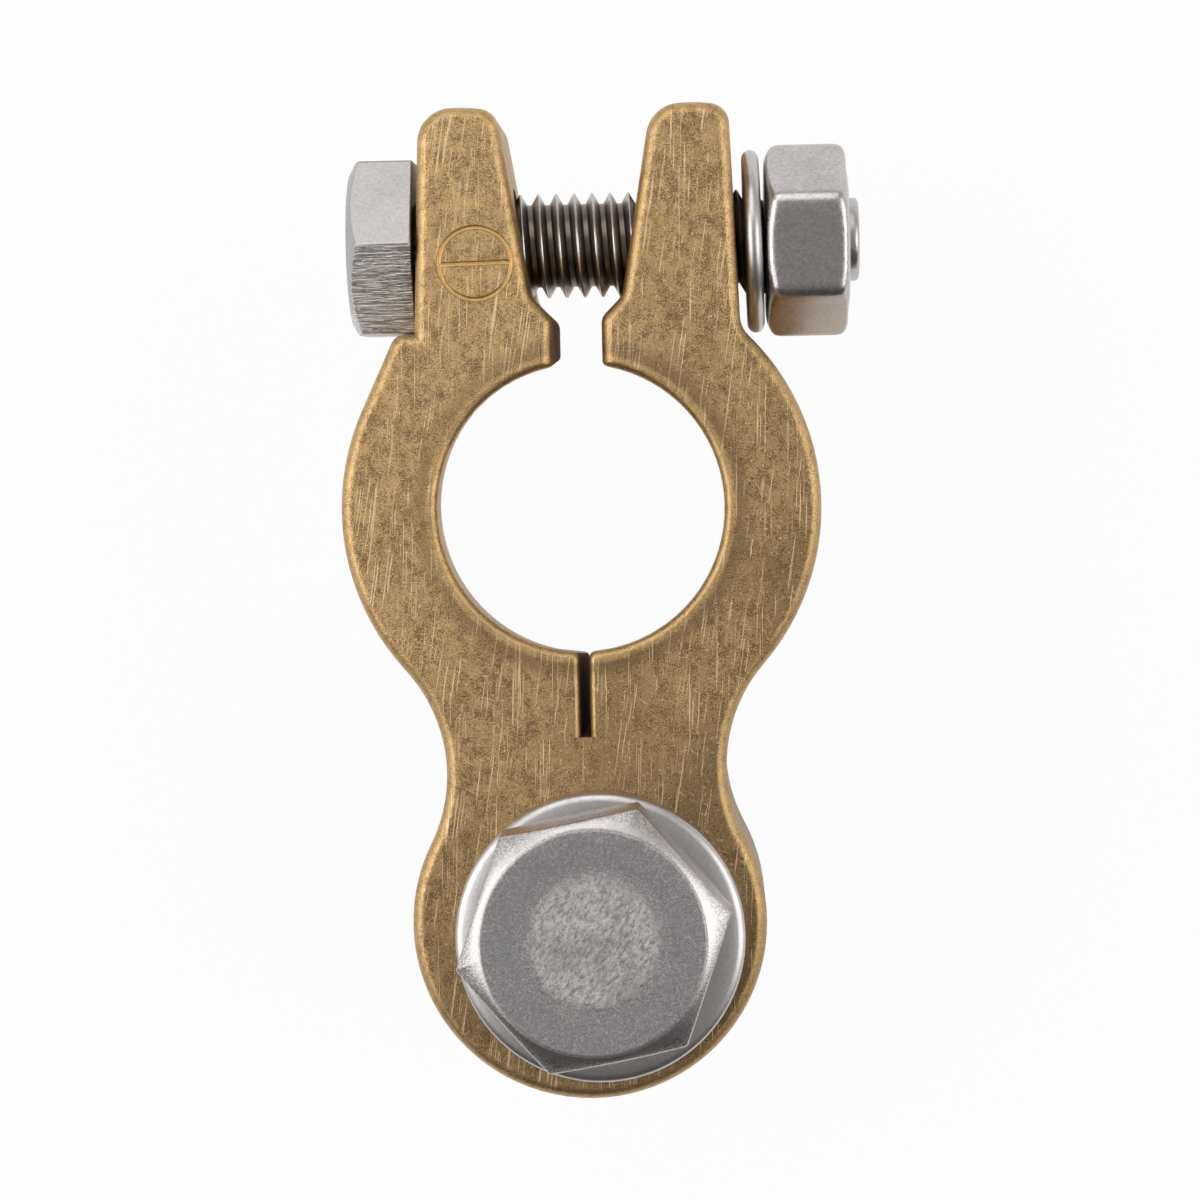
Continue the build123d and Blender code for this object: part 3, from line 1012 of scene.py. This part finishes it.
# %% The clamp bolt: its head's lower flats are milled, its upper ones are plain
low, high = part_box("clamp_bolt")
axis = Vector((0, (low.y + high.y) / 2, (low.z + high.z) / 2))
seat_x, end_x = low.x / MM + M6["head"], high.x / MM
paint, tone, gloss, relief = steel_paint(
    "clamp_bolt_steel", grain_per_mm=6, grain_mm=0.012, dark_share=0.30, rough=0.30
)
on_head = paint.x.rise(seat_x + 0.05, seat_x - 0.05)
milled = paint.normal()[1].rise(-0.25, -0.40) * on_head
lines = paint.noise(1, detail=3, rough=0.6, at=paint.stretched((0.8, 8, 8), shift=(2, 0, 1)))
tone = paint.tint(on_head * (1 - milled) * 0.35, tone, STEEL_DARK)
tone = paint.tint(milled * lines.rise(0.52, 0.42) * 0.6, tone, STEEL_DARK)
tone = paint.tint(milled * lines.rise(0.46, 0.56), tone, STEEL_PALE)
relief = paint.bump(lines * milled, 0.17, before=relief)
bare_x = end_x - M6["bare"]
on_thread = paint.x.rise(seat_x - 0.05, seat_x + 0.05) * paint.x.rise(bare_x + 0.05, bare_x - 0.1)
tone = darken_thread_roots(paint, tone, radius_about(paint, axis, "X"), M6, on_thread)
paint.feed(Base_Color=tone, Roughness=gloss.most(0.1), Normal=relief)
paint.put_on(clamp_bolt)
print("clamp bolt painted with", len(paint.tree.nodes), "nodes")

# %% The lug bolt: a forged head with a rough middle
ROUGH_R, WORN_R, DISC_R = 3.8, 4.95, 6.05
top_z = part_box("lug_bolt")[1].z / MM
seat_z = top_z - M8["head"]
bare_z = seat_z - M8["length"] + M8["bare"]
axis = Vector((lug_x, lug_y, 0))
paint, tone, gloss, relief = steel_paint(
    "lug_bolt_steel", grain_per_mm=8, grain_mm=0.02, dark_share=0.75, rough=0.27
)
reach = radius_about(paint, axis, "Z")
on_face = paint.z.rise(top_z - 0.35, top_z - 0.2)
ragged = reach + 0.9 * (paint.noise(1.8, detail=4) - 0.5)
middle = ragged.rise(ROUGH_R, ROUGH_R - 0.7) * on_face
worn_ring = reach.near(WORN_R, 0.5, 1.0) * on_face
torn = paint.noise(
    1, detail=5, rough=0.8, at=paint.stretched((5.5, 2.2, 1), (0, 0, 35), shift=(4, 1, 0))
)
patches = paint.noise(0.45, detail=2, at=paint.stretched((1, 1, 1), shift=(3, 0, 0)))
tone = paint.tint(middle * torn.rise(0.44, 0.62) * 0.7, tone, STEEL_PALE)
tone = paint.tint(middle * torn.rise(0.50, 0.36) * 0.8, tone, STEEL_DARK)
tone = paint.tint(middle * patches.rise(0.46, 0.60) * 0.35, tone, STEEL_DARK)
disc = on_face * reach.rise(DISC_R, DISC_R - 0.15)
specks = paint.noise(9, detail=4, rough=0.8)
tone = paint.tint((on_face - disc).most(0) * 0.6, tone, STEEL)
specked = disc * (1 - middle) * (0.35 + 0.65 * specks.rise(0.64, 0.40))
tone = paint.tint(specked, tone, STEEL_DULL)
tone = paint.tint(worn_ring * 0.25, tone, STEEL_DULL)
relief = paint.bump(torn * middle, 0.13, before=relief)
relief = paint.bump(specks * disc, 0.05, before=relief)
gloss = gloss + 0.16 * disc
on_thread = paint.z.rise(seat_z + 0.05, seat_z - 0.05) * paint.z.rise(bare_z - 0.05, bare_z + 0.1)
tone = darken_thread_roots(paint, tone, reach, M8, on_thread)
paint.feed(Base_Color=tone, Roughness=gloss.most(0.1), Normal=relief)
paint.put_on(lug_bolt)
print("lug bolt painted with", len(paint.tree.nodes), "nodes")

# %% The nuts and the washers
for name, piece, brass_reflection in (("clamp_nut_steel", clamp_nut, 0.6), ("lug_nut_steel", lug_nut, 0.0)):
    paint, tone, gloss, relief = steel_paint(
        name, grain_per_mm=5, grain_mm=0.012, dark_share=0.35, rough=0.27
    )
    downward = paint.normal()[1].rise(-0.45, -0.85)
    # painted reflection: on the clamp nut the sides that face -Y are painted brown, as the brass
    # they face
    tone = paint.tint(downward * brass_reflection, tone, BRASS_REFLECTION_BROWN)
    paint.feed(Base_Color=tone, Roughness=gloss, Normal=relief)
    paint.put_on(piece)
paint, tone, gloss, relief = steel_paint(
    "washer_steel", grain_per_mm=6, grain_mm=0.006, dark_share=0.2, rough=0.33
)
paint.feed(Base_Color=tone, Roughness=gloss, Normal=relief)
for piece in flat_washers + [spring, frame["nodes"]["lug_spring_washer"]]:
    paint.put_on(piece)
print("steel paints:", sorted(m.name for m in bpy.data.materials if "steel" in m.name))

# %% [markdown]
# ## Last look
#
# The dressed part must be no larger than the solid one. The solid's box is written down
# before the scene is closed.

# %% Write down the solid's box and finish
print("solid:  ", [[round(v / MM, 2) for v in c] for c in cad_box])
